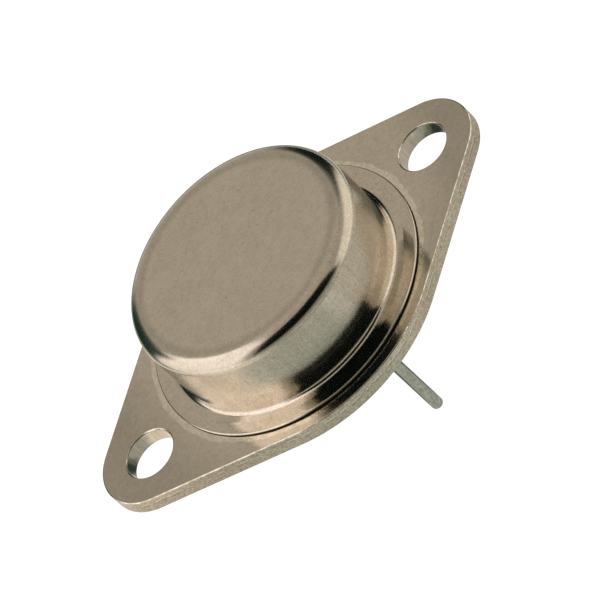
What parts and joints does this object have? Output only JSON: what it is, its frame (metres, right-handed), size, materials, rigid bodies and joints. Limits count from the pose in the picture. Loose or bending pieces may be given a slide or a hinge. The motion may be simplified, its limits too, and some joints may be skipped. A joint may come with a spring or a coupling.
{
  "type": "power transistor in a two-lead metal case",
  "caption": "Round drawn-steel cap welded to a diamond-shaped plate with mounting holes at its ends and straight leads in glass seals below.",
  "frame": {"origin": "centre of the plate's underside, on the cap's axis", "axes": "+Z out of the top of the cap, +X along the line of the mounting holes towards the hole that the leads are nearer to, -Y towards the gate lead"},
  "size_m": [0.0386, 0.0254, 0.0201],
  "materials": {
    "plate": "satin nickel plate over steel",
    "cap": "bright nickel plate over drawn steel, satin on the flat top",
    "lead": "dull plated nickel-iron alloy",
    "seal_glass": "dark sealing glass, smooth and dished",
    "braze": "silver braze",
    "copper": "bright copper",
    "solder": "frozen solder",
    "silicon": "polished chip with a metallised face",
    "wire": "drawn aluminium wire"
  },
  "bodies": {
    "root": {"base_plate": "plate", "cap": "cap", "gate_lead": "lead", "source_lead": "lead", "gate_seal": "seal_glass", "source_seal": "seal_glass", "spreader_braze": "braze", "heat_spreader": "copper", "die_solder": "solder", "die": "silicon", "source_wire_1": "wire", "source_wire_2": "wire", "gate_wire": "wire"}
  },
  "joints": []
}
